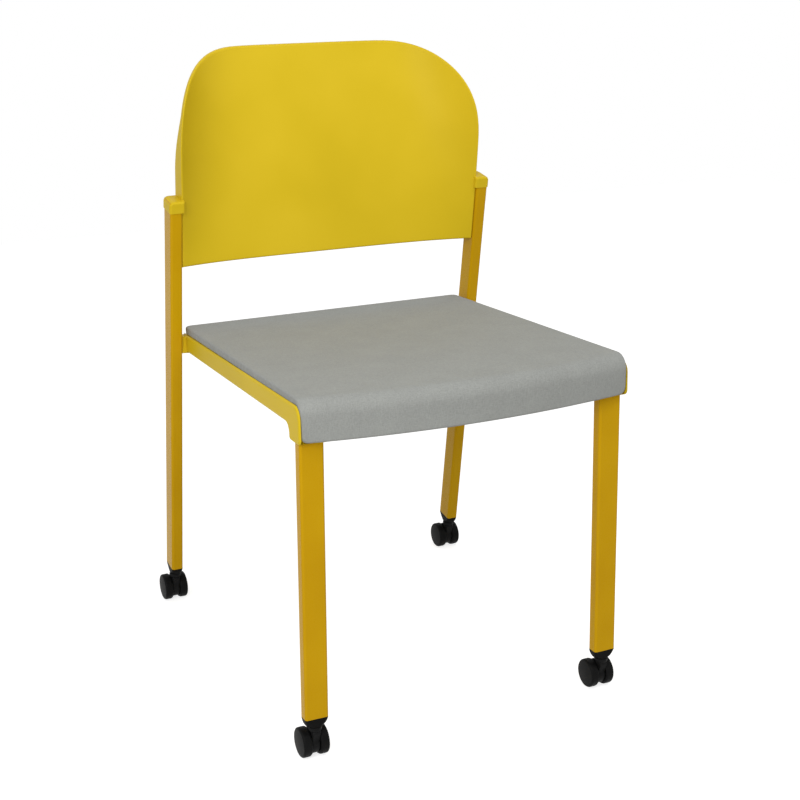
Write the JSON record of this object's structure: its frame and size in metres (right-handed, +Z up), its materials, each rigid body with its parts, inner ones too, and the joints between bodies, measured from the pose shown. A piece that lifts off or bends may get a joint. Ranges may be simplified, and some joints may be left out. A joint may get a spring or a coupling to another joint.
{
  "type": "side chair on castors",
  "caption": "Armless steel-tube side chair on twin-wheel castors, with a wrapped moulded back held between the rear posts and an upholstered waterfall seat.",
  "frame": {"origin": "middle of the bounding box at floor level", "axes": "+Z up, the sitter faces -Y, the chair's own left side is +X"},
  "size_m": [0.5184, 0.5872, 0.8509],
  "materials": {
    "powder_coat": "smooth satin",
    "bar_steel": "satin",
    "moulding": "fine satin grain",
    "zinc": "zinc plated",
    "plywood": "raw",
    "upholstery": "woven, fine vertical grain",
    "castor_black": "satin",
    "wheel_black": "satin"
  },
  "bodies": {
    "chair": {"backrest_shell": "moulding", "back_screws": "zinc", "back_nut_inserts": "zinc", "rear_post_left": "powder_coat", "rear_post_right": "powder_coat", "front_leg_left": "powder_coat", "front_leg_right": "powder_coat", "rear_cross_bar": "bar_steel", "front_cross_bar": "bar_steel", "side_bar_left": "bar_steel", "side_bar_right": "bar_steel", "seat_pan": "moulding", "pan_screws": "zinc", "board_screws": "zinc", "leg_screws": "zinc", "seat_board": "plywood", "seat_cushion": "upholstery", "insert_front_left": "castor_black", "insert_front_right": "castor_black", "insert_rear_left": "castor_black", "insert_rear_right": "castor_black"},
    "castor_front_left": {"housing_front_left": "castor_black", "stem_front_left": "zinc", "snap_ring_front_left": "zinc", "axle_front_left": "zinc"},
    "wheel_front_left_a": {"wheel_front_left_a": "wheel_black"},
    "wheel_front_left_b": {"wheel_front_left_b": "wheel_black"},
    "castor_front_right": {"housing_front_right": "castor_black", "stem_front_right": "zinc", "snap_ring_front_right": "zinc", "axle_front_right": "zinc"},
    "wheel_front_right_a": {"wheel_front_right_a": "wheel_black"},
    "wheel_front_right_b": {"wheel_front_right_b": "wheel_black"},
    "castor_rear_left": {"housing_rear_left": "castor_black", "stem_rear_left": "zinc", "snap_ring_rear_left": "zinc", "axle_rear_left": "zinc"},
    "wheel_rear_left_a": {"wheel_rear_left_a": "wheel_black"},
    "wheel_rear_left_b": {"wheel_rear_left_b": "wheel_black"},
    "castor_rear_right": {"housing_rear_right": "castor_black", "stem_rear_right": "zinc", "snap_ring_rear_right": "zinc", "axle_rear_right": "zinc"},
    "wheel_rear_right_a": {"wheel_rear_right_a": "wheel_black"},
    "wheel_rear_right_b": {"wheel_rear_right_b": "wheel_black"}
  },
  "joints": [
    {"name": "swivel_front_left", "type": "hinge", "parent": "chair", "child": "castor_front_left", "pos_m": [0.2147, -0.25894, 0.053], "axis": [0, 0, 1], "continuous": true},
    {"name": "roll_front_left_a", "type": "hinge", "parent": "castor_front_left", "child": "wheel_front_left_a", "pos_m": [0.22645, -0.24714, 0.02], "axis": [1, 0, 0], "continuous": true},
    {"name": "roll_front_left_b", "type": "hinge", "parent": "castor_front_left", "child": "wheel_front_left_b", "pos_m": [0.20295, -0.24714, 0.02], "axis": [1, 0, 0], "continuous": true},
    {"name": "swivel_front_right", "type": "hinge", "parent": "chair", "child": "castor_front_right", "pos_m": [-0.2147, -0.25894, 0.053], "axis": [0, 0, 1], "continuous": true},
    {"name": "roll_front_right_a", "type": "hinge", "parent": "castor_front_right", "child": "wheel_front_right_a", "pos_m": [-0.20295, -0.24714, 0.02], "axis": [1, 0, 0], "continuous": true},
    {"name": "roll_front_right_b", "type": "hinge", "parent": "castor_front_right", "child": "wheel_front_right_b", "pos_m": [-0.22645, -0.24714, 0.02], "axis": [1, 0, 0], "continuous": true},
    {"name": "swivel_rear_left", "type": "hinge", "parent": "chair", "child": "castor_rear_left", "pos_m": [0.2402, 0.26166, 0.053], "axis": [0, 0, 1], "continuous": true},
    {"name": "roll_rear_left_a", "type": "hinge", "parent": "castor_rear_left", "child": "wheel_rear_left_a", "pos_m": [0.25195, 0.27346, 0.02], "axis": [1, 0, 0], "continuous": true},
    {"name": "roll_rear_left_b", "type": "hinge", "parent": "castor_rear_left", "child": "wheel_rear_left_b", "pos_m": [0.22845, 0.27346, 0.02], "axis": [1, 0, 0], "continuous": true},
    {"name": "swivel_rear_right", "type": "hinge", "parent": "chair", "child": "castor_rear_right", "pos_m": [-0.2402, 0.26166, 0.053], "axis": [0, 0, 1], "continuous": true},
    {"name": "roll_rear_right_a", "type": "hinge", "parent": "castor_rear_right", "child": "wheel_rear_right_a", "pos_m": [-0.22845, 0.27346, 0.02], "axis": [1, 0, 0], "continuous": true},
    {"name": "roll_rear_right_b", "type": "hinge", "parent": "castor_rear_right", "child": "wheel_rear_right_b", "pos_m": [-0.25195, 0.27346, 0.02], "axis": [1, 0, 0], "continuous": true}
  ]
}
